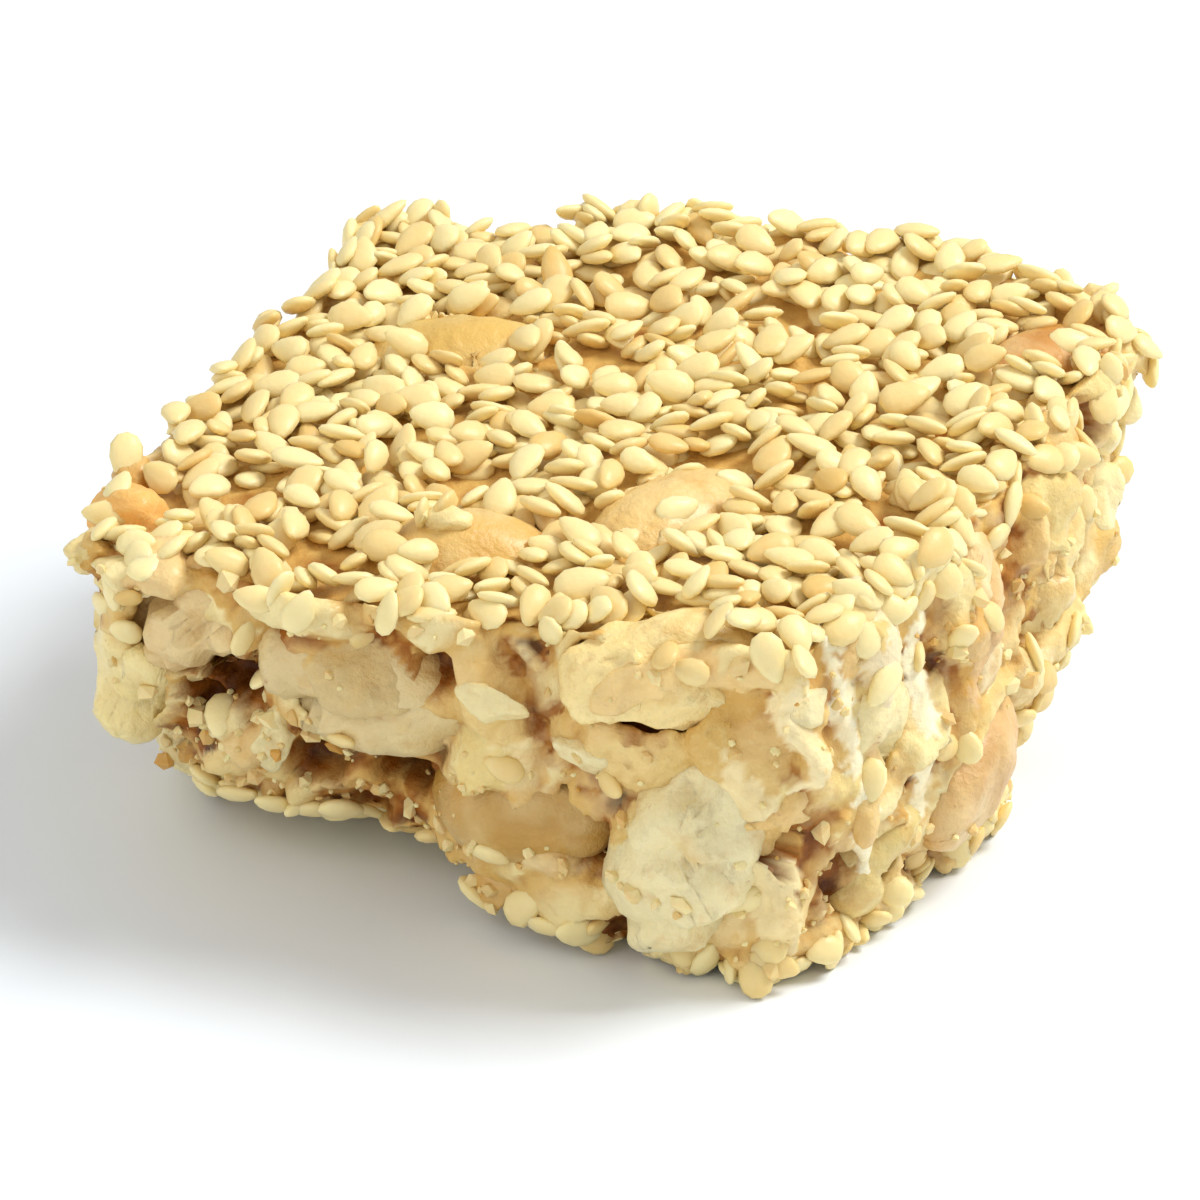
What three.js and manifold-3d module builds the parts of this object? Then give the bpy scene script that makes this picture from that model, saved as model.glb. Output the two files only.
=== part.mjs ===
// Sesame and peanut brittle slab: one hand-cut square of set syrup, full of roasted peanut halves,
// pressed between two crusts of sesame seed.
// Millimetres, +Z up. The origin is under the middle of the slab, on the surface that it lies on.
// +X runs along the front cut, and +Y towards the back.
import * as THREE from "three";
import Module from "manifold-3d";
import { mergeVertices } from "three/addons/utils/BufferGeometryUtils.js";
import { ImprovedNoise } from "three/addons/math/ImprovedNoise.js";

// Slab
const WIDTH = 50; // front cut, between the middles of the two sides
const DEPTH = 48; // from front to back
const THICKNESS = 23.6; // at the middle, crusts included
const RISE_X = 0.041; // the pressed top climbs to the right by this much for each millimetre
const RISE_Y = 0.05; // and to the back
const STRETCH = { x: 3.6, y: 3.4 }; // how far the back right corner is drawn out
const CORNER_ROUNDING = 0.26; // 0 leaves square corners in plan, 1 makes a disc
const EDGE_ROUNDING = 1.1; // how far the top and bottom edges draw in
const TAPER = 2; // how much further in the cut sides stand at the bottom than at the top
const BOW = { back: 3.2, rightTop: 1.3, rightBottom: 2.4 }; // how far two of the sides swell out
const CROWN = 0.8; // how much higher the middle of the back edge stands than its ends
const SIDE_LUMPS = 0.75; // relief of the four cut sides
const TOP_LUMPS = 0.45; // relief of the top
const LUMP_SIZE = 6.5; // distance over which a lump rises and falls
// The broken lower edge on the left of the front cut: full up to start, gone over along and inward
const UNDERCUT = { start: -0.1, along: 0.9, inward: 0.9, inset: 3.2, lift: 3.5, fade: 1.5 };
// How far the foot of the back right corner stands in, and how fast that fades sideways and upwards
const FOOT = { inset: 6.5, sideways: 1.5, upwards: 2.5 };

// Layers
const CRUST = 2.1; // thickness of each sesame crust
const CRUST_WAVE = 0.2; // how far the joins between the layers wander
const GAP = 0.3; // clearance between neighbouring pieces
const CELL = 3.8; // size of the facets

// Peanut halves
const KERNEL = { length: 14, width: 8, dome: 4.2, flat: 0.6 };
const KERNEL_SIDES = 8;
const KERNEL_RINGS = 5;
const PROUD = 0.9; // how far a kernel may stand out of a cut side
const SIDE_KERNELS = 5; // on each side, as far as they find room
const SIDE_TRIES = 90;
const LEAST_FREE = 0.72; // share of a kernel that has to clear the ones before it

const wasm = await Module();
wasm.setup();
const noise = new ImprovedNoise();

// Smooth relief between about -1 and 1, different for each seed.
function relief(x, y, z, seed) {
  const s = 1 / LUMP_SIZE;
  const broad = noise.noise(x * s + seed, y * s, z * s);
  const fine = noise.noise(x * s * 2.3, y * s * 2.3 + seed, z * s * 2.3);
  return 1.4 * broad + 0.6 * fine;
}

// Repeatable random numbers from 0 to 1.
let dice = 7919;
function random() {
  dice = (dice * 16807) % 2147483647;
  return dice / 2147483647;
}
const between = (low, high) => low + (high - low) * random();

// --- Outline and surfaces of the slab: u and v run from -1 to 1 across it, t from 0 to 1 up it ---

// Share of the undercut at a place: 1 on the left of the front cut, fading to the right and inwards.
function undercutShare(u, v) {
  const along = Math.max(0, u - UNDERCUT.start) / UNDERCUT.along;
  const inward = (v + 1) / UNDERCUT.inward;
  return THREE.MathUtils.smoothstep(1 - Math.hypot(along, inward), 0, 1);
}

function outline(u, v, t, grow = 0) {
  const roundU = u * Math.sqrt(1 - (CORNER_ROUNDING * v * v) / 2);
  const roundV = v * Math.sqrt(1 - (CORNER_ROUNDING * u * u) / 2);
  const corner = ((1 + roundU) / 2) * ((1 + roundV) / 2);
  const swellX = THREE.MathUtils.lerp(BOW.rightBottom, BOW.rightTop, t) * (1 - v * v);
  const swellY = BOW.back * (1 - u * u);
  const x = (roundU * WIDTH) / 2 + corner * STRETCH.x + (swellX * (1 + u)) / 2;
  const y = (roundV * DEPTH) / 2 + corner * STRETCH.y + (swellY * (1 + v)) / 2;
  const rim = Math.max(Math.abs(u), Math.abs(v));
  const edge = EDGE_ROUNDING * Math.pow(Math.abs(2 * t - 1), 5);
  const under = UNDERCUT.inset * undercutShare(u, v) * Math.pow(1 - t, UNDERCUT.fade);
  const foot = FOOT.inset * Math.pow(corner, FOOT.sideways) * Math.pow(1 - t, FOOT.upwards);
  const lump = SIDE_LUMPS * relief(x, y, t * THICKNESS, 3);
  const out = rim * (grow + lump - edge - under - foot - TAPER * (1 - t));
  return { x: x + (out * roundU), y: y + (out * roundV) };
}

function underside(u, v) {
  return UNDERCUT.lift * Math.pow(undercutShare(u, v), 2);
}

function topPlane(u, v) {
  const { x, y } = outline(u, v, 1);
  return THICKNESS + RISE_X * x + RISE_Y * y + (CROWN * (1 - u * u) * (1 + v)) / 2;
}

function topside(u, v) {
  const { x, y } = outline(u, v, 1);
  return topPlane(u, v) + TOP_LUMPS * relief(x, y, 0, 11);
}

const lowerJoin = (u, v) => {
  const { x, y } = outline(u, v, 0);
  return underside(u, v) + CRUST + CRUST_WAVE * relief(x, y, 0, 23);
};

const upperJoin = (u, v) => {
  const { x, y } = outline(u, v, 1);
  return topPlane(u, v) - CRUST + CRUST_WAVE * relief(x, y, 0, 31);
};

// --- Solids ---

function solidOf(geometry) {
  const bare = geometry.clone();
  bare.deleteAttribute("normal");
  bare.deleteAttribute("uv");
  const merged = mergeVertices(bare, 1e-4);
  return new wasm.Manifold(
    new wasm.Mesh({
      numProp: 3,
      vertProperties: merged.attributes.position.array,
      triVerts: new Uint32Array(merged.index.array),
    }),
  );
}

function geometryOf(solid) {
  const mesh = solid.getMesh();
  const points = new Float32Array(mesh.numVert * 3);
  for (let i = 0; i < mesh.numVert; i++) {
    const from = i * mesh.numProp;
    points.set(mesh.vertProperties.subarray(from, from + 3), i * 3);
  }
  const geometry = new THREE.BufferGeometry();
  geometry.setAttribute("position", new THREE.BufferAttribute(points, 3));
  geometry.setIndex(new THREE.BufferAttribute(mesh.triVerts, 1));
  geometry.computeVertexNormals();
  return geometry;
}

// One layer of the slab: a gridded block between two surfaces, from tLow to tHigh of the slab's
// height. Neighbouring layers share their outline at the join, so only the gap parts them.
function layer({ floor, ceiling, tLow, tHigh, rows, grow = 0 }) {
  const across = Math.round(WIDTH / CELL);
  const block = new THREE.BoxGeometry(2, 2, 1, across, across, rows);
  const at = block.attributes.position;
  for (let i = 0; i < at.count; i++) {
    const u = at.getX(i);
    const v = at.getY(i);
    const w = at.getZ(i) + 0.5;
    const z = THREE.MathUtils.lerp(floor(u, v), ceiling(u, v), w);
    const { x, y } = outline(u, v, THREE.MathUtils.lerp(tLow, tHigh, w), grow);
    at.setXYZ(i, x, y, z);
  }
  return solidOf(block);
}

// Half a roasted kernel, domed side up, a little narrower at its germ end. grow thickens it.
function kernel(size, grow = 0) {
  const ball = new THREE.SphereGeometry(1, KERNEL_SIDES, KERNEL_RINGS);
  ball.rotateZ(Math.PI / 2);
  const at = ball.attributes.position;
  for (let i = 0; i < at.count; i++) {
    const along = at.getX(i);
    const narrow = 1 - 0.14 * along;
    const rise = at.getZ(i) > 0 ? KERNEL.dome * size : KERNEL.flat * size;
    at.setXYZ(
      i,
      along * ((KERNEL.length * size) / 2 + grow),
      at.getY(i) * ((KERNEL.width * size * narrow) / 2 + grow),
      at.getZ(i) * (rise + grow),
    );
  }
  return ball;
}

function placed(geometry, matrix) {
  return solidOf(geometry.clone().applyMatrix4(matrix));
}

function biggestBody(solid) {
  return solid.decompose().sort((a, b) => b.volume() - a.volume())[0];
}

// --- Where the kernels lie ---

// The four cut sides: the grid direction that runs along each, to the right as seen from outside.
const SIDES = {
  front: (s) => ({ u: s, v: -1 }),
  right: (s) => ({ u: 1, v: s }),
  back: (s) => ({ u: -s, v: 1 }),
  left: (s) => ({ u: -1, v: -s }),
};

// A kernel on a cut side. s runs from -1 to 1 along it and t from 0 to 1 up it. sunk is how deep its
// middle lies, spin turns it in the plane of the cut, and lean tips its broad face away from the cut.
function onSide(side, { s, t, sunk, spin = 0, lean = 0, size = 1 }) {
  const span = 0.05;
  const here = SIDES[side](s);
  const ahead = SIDES[side](s + span);
  const behind = SIDES[side](s - span);
  const point = outline(here.u, here.v, t);
  const a = outline(ahead.u, ahead.v, t);
  const b = outline(behind.u, behind.v, t);
  const along = new THREE.Vector3(a.x - b.x, a.y - b.y, 0).normalize();
  const up = new THREE.Vector3(0, 0, 1);
  const out = new THREE.Vector3().crossVectors(along, up);
  const frame = new THREE.Matrix4().makeBasis(along, up, out);
  const height = THREE.MathUtils.lerp(
    underside(here.u, here.v),
    topside(here.u, here.v),
    t,
  );
  frame.setPosition(point.x - out.x * sunk, point.y - out.y * sunk, height);
  const turn = new THREE.Matrix4().makeRotationFromEuler(
    new THREE.Euler(lean, 0, spin, "ZXY"),
  );
  return { name: side, size, matrix: frame.multiply(turn) };
}

// A kernel on the top, domed side up.
function onTop({ u, v, sunk, spin = 0, lean = 0, size = 1 }) {
  const { x, y } = outline(u, v, 1);
  const matrix = new THREE.Matrix4().makeRotationFromEuler(
    new THREE.Euler(lean, 0, spin, "ZXY"),
  );
  matrix.setPosition(x, y, topside(u, v) - sunk);
  return { name: "top", size, matrix };
}

// The kernels that give this slab its look, by hand.
const CHOSEN = [
  onTop({ u: 0.3, v: -0.34, sunk: 3.1, spin: 1.2, lean: 0.05 }),
  onTop({ u: -0.08, v: -0.66, sunk: 2.8, spin: 0.5, lean: -0.2, size: 0.8 }),
  onTop({ u: -0.47, v: 0.3, sunk: 3.3, spin: 0.3, lean: 0.1 }),
  onTop({ u: 0.8, v: 0.6, sunk: 2.8, spin: 1.4, lean: 0.25, size: 0.8 }),
  onSide("front", { s: -0.72, t: 0.78, sunk: 2.6, spin: 0.45, lean: -0.35, size: 0.85 }),
  onSide("front", { s: -0.93, t: 0.52, sunk: 2.6, spin: 1.3, lean: 0.1, size: 0.66 }),
  onSide("front", { s: -0.2, t: 0.64, sunk: 3.1, spin: -0.2, lean: 0.15, size: 0.9 }),
  onSide("front", { s: 0.2, t: 0.32, sunk: 2.7, spin: 0.15, lean: 0.05, size: 0.78 }),
  onSide("front", { s: 0.66, t: 0.86, sunk: 3, spin: 0.05, lean: -1, size: 0.92 }),
  onSide("front", { s: 0.66, t: 0.38, sunk: 2.8, spin: 1.2, lean: 0.1, size: 0.95 }),
  onSide("front", { s: 0.87, t: 0.56, sunk: 2.7, spin: 1.57, lean: 0.1, size: 0.68 }),
  onSide("right", { s: -0.7, t: 0.66, sunk: 2.6, spin: 1.5, lean: 0.1, size: 0.85 }),
  onSide("right", { s: -0.22, t: 0.68, sunk: 2.9, spin: 1.35, lean: -0.5, size: 0.9 }),
  onSide("right", { s: -0.2, t: 0.3, sunk: 2, spin: 0.5, lean: 0.05, size: 0.8 }),
  onSide("right", { s: -0.66, t: 0.24, sunk: 2.4, spin: 0.9, lean: 0.2, size: 0.62 }),
  onSide("right", { s: 0.33, t: 0.6, sunk: 2, spin: 1.2, lean: 0.3, size: 0.7 }),
  onSide("right", { s: 0.72, t: 0.6, sunk: 2.8, spin: 1.5, lean: 0.2, size: 0.95 }),
];

function anywhereOn(side) {
  return onSide(side, {
    s: between(-0.85, 0.85),
    t: between(0.2, 0.8),
    sunk: between(2.2, 3.4),
    spin: between(0, Math.PI),
    lean: between(-0.5, 0.5),
    size: between(0.6, 0.95),
  });
}

// Keeps each kernel that clears the ones before it, and fills the sides up by trying places.
function lay(envelope) {
  const kept = [];
  let taken = null;
  const tryOne = (place) => {
    const whole = placed(kernel(place.size), place.matrix);
    const free = taken ? whole.subtract(taken) : whole;
    if (free.volume() < LEAST_FREE * whole.volume()) return false;
    const body = biggestBody(free.intersect(envelope));
    const roomy = placed(kernel(place.size, GAP), place.matrix);
    taken = taken ? taken.add(roomy) : roomy;
    kept.push({ ...place, body });
    return true;
  };
  CHOSEN.forEach((place) => {
    if (!tryOne(place)) throw new Error("no room for a chosen kernel on the " + place.name);
  });
  for (const side of Object.keys(SIDES)) {
    let left = SIDE_KERNELS - kept.filter((k) => k.name === side).length;
    for (let i = 0; i < SIDE_TRIES && left > 0; i++) {
      if (tryOne(anywhereOn(side))) left -= 1;
    }
  }
  return { kept, taken };
}

// --- Materials and assembly ---

const LOOKS = {
  sesame: { color: 0xeedaa0, roughness: 0.55 },
  syrup: { color: 0xb98545, roughness: 0.3 },
  peanut: { color: 0xe6c48a, roughness: 0.5 },
};

function piece(name, solid, look) {
  const material = new THREE.MeshStandardMaterial({ ...LOOKS[look], metalness: 0 });
  const mesh = new THREE.Mesh(geometryOf(solid), material);
  mesh.name = name;
  return mesh;
}

const raised = (surface, by) => (u, v) => surface(u, v) + by;

const half = GAP / 2;
const tCrust = CRUST / THICKNESS;
const LAYERS = {
  whole: {
    floor: underside,
    ceiling: raised(topside, PROUD),
    tLow: 0,
    tHigh: 1,
    rows: 5,
    grow: PROUD,
  },
  sesame_top: {
    floor: raised(upperJoin, half),
    ceiling: topside,
    tLow: 1 - tCrust,
    tHigh: 1,
    rows: 1,
  },
  peanut_core: {
    floor: raised(lowerJoin, half),
    ceiling: raised(upperJoin, -half),
    tLow: tCrust,
    tHigh: 1 - tCrust,
    rows: 5,
  },
  sesame_bottom: {
    floor: underside,
    ceiling: raised(lowerJoin, -half),
    tLow: 0,
    tHigh: tCrust,
    rows: 1,
  },
};

const slab = new THREE.Group();
const { kept, taken } = lay(layer(LAYERS.whole));
const cut = (name) => biggestBody(layer(LAYERS[name]).subtract(taken));
slab.add(piece("sesame_top", cut("sesame_top"), "sesame"));
slab.add(piece("peanut_core", cut("peanut_core"), "syrup"));
slab.add(piece("sesame_bottom", cut("sesame_bottom"), "sesame"));

const count = {};
for (const { name, body } of kept) {
  count[name] = (count[name] ?? 0) + 1;
  slab.add(piece(`peanut_${name}_${count[name]}`, body, "peanut"));
}

// The origin lies under the middle of the slab's box.
const middle = new THREE.Box3().setFromObject(slab).getCenter(new THREE.Vector3());
slab.position.set(-middle.x, -middle.y, 0);

export default slab;
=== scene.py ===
# A slab of sesame and peanut brittle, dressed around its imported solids. The core becomes a body of set syrup
# and broken nut that runs up and down into the crusts, the crusts become seeds pressed into it, the cut sides
# get chips, seeds and crumbs, and each peanut half is finished where it lies. Metres, +Z up, the origin
# under the middle of the slab.
import math
from collections import namedtuple

import bmesh
import bpy
import numpy as np
from bpy.props import FloatProperty, FloatVectorProperty, IntProperty, PointerProperty
from bpy.types import Operator, Panel, PropertyGroup
from mathutils import Matrix, Vector, noise
from mathutils.bvhtree import BVHTree
from mathutils.kdtree import KDTree


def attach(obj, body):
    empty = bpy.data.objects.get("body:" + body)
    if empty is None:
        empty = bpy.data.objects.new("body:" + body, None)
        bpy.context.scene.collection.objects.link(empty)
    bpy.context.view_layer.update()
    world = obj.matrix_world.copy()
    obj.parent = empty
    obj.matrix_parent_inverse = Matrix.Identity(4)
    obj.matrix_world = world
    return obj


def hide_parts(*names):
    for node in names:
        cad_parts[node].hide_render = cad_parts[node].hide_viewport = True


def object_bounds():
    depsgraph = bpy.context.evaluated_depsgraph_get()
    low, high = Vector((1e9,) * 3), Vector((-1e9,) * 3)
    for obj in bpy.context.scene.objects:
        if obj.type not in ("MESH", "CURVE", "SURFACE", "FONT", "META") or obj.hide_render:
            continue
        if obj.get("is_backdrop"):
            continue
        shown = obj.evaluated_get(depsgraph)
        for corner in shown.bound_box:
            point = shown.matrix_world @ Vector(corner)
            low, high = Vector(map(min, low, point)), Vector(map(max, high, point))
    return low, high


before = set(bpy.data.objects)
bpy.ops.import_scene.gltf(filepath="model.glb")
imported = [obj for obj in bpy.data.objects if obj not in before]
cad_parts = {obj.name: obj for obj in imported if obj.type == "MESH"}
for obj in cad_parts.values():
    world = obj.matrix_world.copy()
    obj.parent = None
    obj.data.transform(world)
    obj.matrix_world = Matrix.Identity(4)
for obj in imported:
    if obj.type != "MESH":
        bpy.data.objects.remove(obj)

bl_info = {
    "name": "Sesame and Peanut Brittle",
    "version": (1, 0, 0),
    "blender": (4, 5, 0),
    "location": "View3D > Sidebar > Brittle",
    "description": "Dresses a slab of sesame and peanut brittle around its packed solids",
    "category": "Add Mesh",
}

MM = 0.001
BOX_LOW, BOX_HIGH = (np.array(corner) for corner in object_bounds())
MIDDLE = (BOX_LOW + BOX_HIGH) / 2
SPAN = BOX_HIGH - BOX_LOW
LAYERS = ("sesame_top", "peanut_core", "sesame_bottom")
KERNELS = sorted(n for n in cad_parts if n.startswith("peanut_") and n not in LAYERS)
ROASTED = ["roasted_" + name for name in KERNELS]
SEED = 20  # of every random choice


def srgb(code):
    """A hex colour as the linear values that Blender works in."""
    parts = [int(code[i : i + 2], 16) / 255 for i in (1, 3, 5)]
    return tuple(p / 12.92 if p <= 0.04045 else ((p + 0.055) / 1.055) ** 2.4 for p in parts)


# What shows on the slab. A place on it is a side, how far along it (-1 left to 1 right as seen from
# outside) and how far up it (0 to 1); on the top, how far to the right and to the back (-1 to 1).
CREAM, PALE, TAN = srgb("#F2DFA3"), srgb("#E8CF8A"), srgb("#E4BC70")
GOLD, ORANGE, GREY_GREEN = srgb("#D09E48"), srgb("#EFB868"), srgb("#ECDDA9")
# the last colour on the next line is painted shade for the bottom of a pit, laid over the amber of the bare
# syrup
ROSE, AMBER, PAINTED_PIT_SHADE = srgb("#F0D6A0"), srgb("#AE6618"), srgb("#5A2C04")
CHUNK_TONES = (CREAM, CREAM, PALE, TAN, CREAM, ROSE, GREY_GREEN, GOLD)
Half = namedtuple("Half", "tone whole proud bare", defaults=(None, False, 0, 0))
HALVES = {  # tone, whether it is whole, how far it stands out and is bare of seeds in millimetres
    "top_1": Half(TAN, True, 0, 5.8),
    "top_2": Half(srgb("#DDB25E"), True, 0.5, 3.1),
    "top_3": Half(srgb("#DCB45C"), True, 0, 3.2),
    "top_4": Half(srgb("#C58430"), True, 0, 2.2),
    "front_1": Half(srgb("#E2C084")),
    "front_2": Half(srgb("#F8E29E"), proud=0.7),
    "front_3": Half(srgb("#D8BE86"), proud=0.6),
    "front_4": Half(srgb("#BB8E3C"), True, 1.0),
    "front_5": Half(srgb("#FADD94")),
    "front_6": Half(GREY_GREEN, proud=0.6),
    "front_7": Half(TAN),
    "right_1": Half(CREAM),
    "right_2": Half(ROSE),
    "right_3": Half(srgb("#D3A768"), True, 0.3),
    "right_4": Half(srgb("#D9C074"), proud=0.4),
    "back_2": Half(whole=True),
    "left_3": Half(whole=True),
}
PITS = (  # side, along, up, radius and depth in millimetres
    ("front", -0.57, 0.53, 2.1, 3.8),
    ("front", -0.63, 0.45, 1.5, 2.8),
    ("front", -0.04, 0.68, 1.3, 2.2),
    ("front", -0.39, 0.33, 1.6, 2.6),
    ("front", -0.18, 0.35, 1.6, 3.0),
    ("front", 0.3, 0.31, 1.4, 2.8),
    ("front", 0.34, 0.08, 1.4, 2.4),
    ("front", -0.3, 0.2, 1.2, 1.8),
    ("right", -0.88, 0.4, 1.6, 4.2),
    ("right", -0.65, 0.52, 0.9, 2.4),
    ("right", -0.43, 0.43, 0.8, 2.0),
    ("right", 0.42, 0.84, 1.5, 2.4),
    ("back", -0.5, 0.6, 1.6, 2.8),
    ("back", 0.35, 0.35, 1.4, 2.6),
    ("left", -0.2, 0.5, 1.5, 2.8),
    ("left", 0.6, 0.65, 1.3, 2.4),
)
CHIPS = (  # side, along, up, length and height in millimetres, and tone
    ("front", 0.04, 0.51, 5.0, 8.0, PALE),
    ("front", -0.2, 0.66, 8.0, 5.6, srgb("#D8BE86")),
    ("front", -0.38, 0.78, 6.0, 3.6, CREAM),
    ("front", -0.74, 0.8, 7.4, 5.0, srgb("#E8C88C")),
    ("front", -0.55, 0.72, 4.0, 3.6, CREAM),
    ("front", -0.3, 0.42, 4.0, 2.6, PALE),
    ("front", -0.1, 0.22, 3.0, 2.2, TAN),
    ("right", 0.1, 0.8, 6.0, 4.4, PALE),
    ("right", 0.5, 0.5, 5.4, 5.0, TAN),
    ("right", 0.8, 0.4, 5.0, 6.0, PALE),
)
TOP_CHIPS = (  # along, back, length and height in millimetres, and tone
    (-0.87, -0.7, 5.6, 5.6, ORANGE),
    (-0.13, -0.66, 3.6, 1.8, CREAM),
)
STRIPS = (  # side, width in millimetres, tone and course (along, up) of a strip of pale syrup
    ("front", 2.6, srgb("#F0CE8C"), ((0.33, 0.7), (0.42, 0.77), (0.56, 0.81), (0.74, 0.82))),
    ("front", 3.1, srgb("#F2DCA4"), ((0.62, 0.64), (0.68, 0.45), (0.71, 0.2), (0.69, 0.03))),
    ("right", 2.2, srgb("#F6E2AE"), ((-0.9, 0.84), (-0.87, 0.68), (-0.86, 0.53))),
    ("right", 1.9, srgb("#FBEFC8"), ((-0.79, 0.9), (-0.74, 0.68), (-0.69, 0.44), (-0.57, 0.12))),
    ("right", 3.4, srgb("#F0DDB2"), ((-0.63, 0.94), (-0.62, 0.78), (-0.65, 0.62))),
    ("right", 1.7, srgb("#FBEFC8"), ((-0.46, 0.92), (-0.49, 0.7), (-0.45, 0.42), (-0.4, 0.12))),
    ("right", 2.4, srgb("#E0B880"), ((-0.14, 0.8), (-0.2, 0.66), (-0.3, 0.5))),
    ("right", 2.0, TAN, ((0.16, 0.94), (0.2, 0.75), (0.14, 0.55))),
)
BARE_DEPTH = 1.4  # millimetres, which gives the bare spots their amber syrup and their painted shade; the top itself is carved much shallower
FULL_SHADE_DEPTH = 2.2 * MM  # at this depth a pit's syrup gets its deepest painted shade
PIT_FLARE = 1.35  # how far a pit's rim runs out, in radii
BARE_SPOTS = (  # along, back, and radius in millimetres, where the syrup shows between the top seeds
    (-0.64, 0.19, 1.0),
    (-0.33, 0.34, 0.8),
    (-0.11, 0.22, 0.8),
    (-0.11, 0.41, 0.8),
    (0.41, 0.76, 1.2),
    (0.73, -0.26, 1.1),
    (0.69, 0.18, 0.8),
    (-0.17, -0.37, 1.2),
    (-0.64, -0.54, 1.3),
    (-0.38, -0.76, 1.3),
    (0.43, -0.92, 1.5),
    (0.25, 0.54, 0.8),
)
CHIP_WET, STRIP_WET = 0.15, 0.35  # how wet the chips and strips look, from dry nut (0) to bare syrup (1)
CHIP_SINK = 0.22  # how much of a chip's thickness its middle lies under the surface
GRAZED = 0.2 * MM  # nearer than this to a peanut half, a place counts as lying on it
MOST_OUT, MOST_IN = 0.6 * MM, 2.4 * MM  # how far a broken side may stand out and back
TINY, FINE, BROAD = 0.8 * MM, 0.9 * MM, 2.6 * MM  # sizes of the bumps on broken nut and syrup
AIM = (-0.2, -2.2, 12.2)  # what the camera looks at, in millimetres from the middle of the slab's foot
DAYLIGHT = 0.56  # strength of the even white light all round
LIGHTS = (  # name, place, width, power and colour
    ("key", (0.32, 0.18, 0.48), 0.24, 3.15, (1, 1, 0.99)),
    ("fill", (-0.25, -0.45, 0.35), 0.5, 1.0, (1, 0.98, 0.94)),
)


# --- Settings ---


def size_of(name, description, default):
    return FloatProperty(name=name, description=description, default=default, unit="LENGTH", precision=5)


def colour_of(name, description, default):
    return FloatVectorProperty(
        name=name, description=description, default=default, subtype="COLOR", min=0, max=1
    )


def turn_of(name, description, degrees):
    default = math.radians(degrees)
    return FloatProperty(name=name, description=description, default=default, unit="ROTATION")


def count_of(name, description, default):
    return IntProperty(name=name, description=description, default=default, min=0)


class CoreSettings(PropertyGroup):
    grain: size_of("Grain", "Spacing of the core's mesh", 0.415 * MM)
    top_bed: size_of("Top Bed", "How far the syrup lies below the top of the seeds", 1.8 * MM)
    bottom_bed: size_of("Bottom Bed", "How far the syrup lies above the lowest seeds", 1.6 * MM)
    chunk: size_of("Chunk", "Size of the nut pieces in the broken sides", 5.6 * MM)
    relief: size_of("Relief", "How far those pieces stand out or back", 1.05 * MM)
    crevice: size_of("Crevice", "Depth of the gaps between them", 1.3 * MM)
    crumb: size_of("Crumb", "Height of the finest relief", 0.2 * MM)
    pool: size_of("Pool", "How much higher the syrup stands where it pooled", 0.55 * MM)
    glaze: colour_of("Glaze", "Set syrup between the seeds", srgb("#DBB264"))
    amber: colour_of("Amber", "Set syrup lying bare", AMBER)
    # painted shade for the deepest part of a pit, over the syrup's own amber
    painted_pit_shade: colour_of("Dark", "Set syrup deep in a pit", PAINTED_PIT_SHADE)


class PeanutSettings(PropertyGroup):
    swell: size_of("Swell", "How far each half grows into the gap around it", 0.3 * MM)
    wrinkle: size_of("Wrinkle", "Height of the wrinkles on the halves", 0.2 * MM)
    fracture: size_of("Fracture", "How much is broken off the faces of a chopped half", 1.1 * MM)
    chips: count_of("Chips", "Chopped pieces scattered on the four sides", 70)
    chip: size_of("Chip Size", "Length of a middling chip", 4.2 * MM)
    skin: colour_of("Skin", "Shreds of red skin left on the nuts", srgb("#A8603A"))


class SeedSettings(PropertyGroup):
    length: size_of("Length", "Length of a sesame seed", 2.95 * MM)
    width: size_of("Width", "Width of a sesame seed", 1.85 * MM)
    thickness: size_of("Thickness", "Thickness of a sesame seed", 0.92 * MM)
    sink: size_of("Sink", "How far a seed sinks into the glaze of those below it", 0.25 * MM)
    top: count_of("Top Seeds", "Seeds pressed into the top", 1900)
    bottom: count_of("Bottom Seeds", "Seeds pressed into the underside", 1100)
    sides: count_of("Side Seeds", "Seeds on the four cut sides", 380)
    pale: colour_of("Pale", "The palest seeds", srgb("#F8E5A8"))
    roasted: colour_of("Roasted", "The most roasted seeds", srgb("#E0B96A"))


class CrumbSettings(PropertyGroup):
    count: count_of("Crumbs", "Crumbs on the cut sides", 900)
    size: size_of("Crumb Size", "Width of a middling crumb", 0.55 * MM)


class StageSettings(PropertyGroup):
    distance: size_of("Camera Distance", "From the camera to the slab", 0.55)
    azimuth: turn_of("Azimuth", "Turn of the view to the right", 21.9)
    elevation: turn_of("Elevation", "Height of the view", 27)
    frame_width: size_of("Frame Width", "How wide the view is at the slab", 71.4 * MM)
    floor: colour_of("Floor", "Colour of the surface", srgb("#EEF4FA"))


class BrittleSettings(PropertyGroup):
    core: PointerProperty(type=CoreSettings)
    peanuts: PointerProperty(type=PeanutSettings)
    seeds: PointerProperty(type=SeedSettings)
    crumbs: PointerProperty(type=CrumbSettings)
    stage: PointerProperty(type=StageSettings)


# --- Node trees ---


class Value:
    """A node's output that can be used in sums, which add the Math nodes for them."""

    def __init__(self, graph, socket):
        self.graph = graph
        self.socket = socket

    def maths(self, operation, *values):
        inputs = dict(enumerate(values))
        return self.graph.node("ShaderNodeMath", inputs, operation=operation)["Value"]

    def __add__(self, other):
        return self.maths("ADD", self, other)

    def __sub__(self, other):
        return self.maths("SUBTRACT", self, other)

    def __mul__(self, other):
        return self.maths("MULTIPLY", self, other)

    def __rsub__(self, other):
        return self.maths("SUBTRACT", other, self)

    __radd__ = __add__
    __rmul__ = __mul__

    def clamped(self):
        return self.maths("MINIMUM", self.maths("MAXIMUM", self, 0.0), 1.0)


class Made:
    """A node whose outputs are reached by name or number."""

    def __init__(self, graph, node):
        self.graph = graph
        self.node = node

    def __getitem__(self, key):
        return Value(self.graph, self.node.outputs[key])


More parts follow.
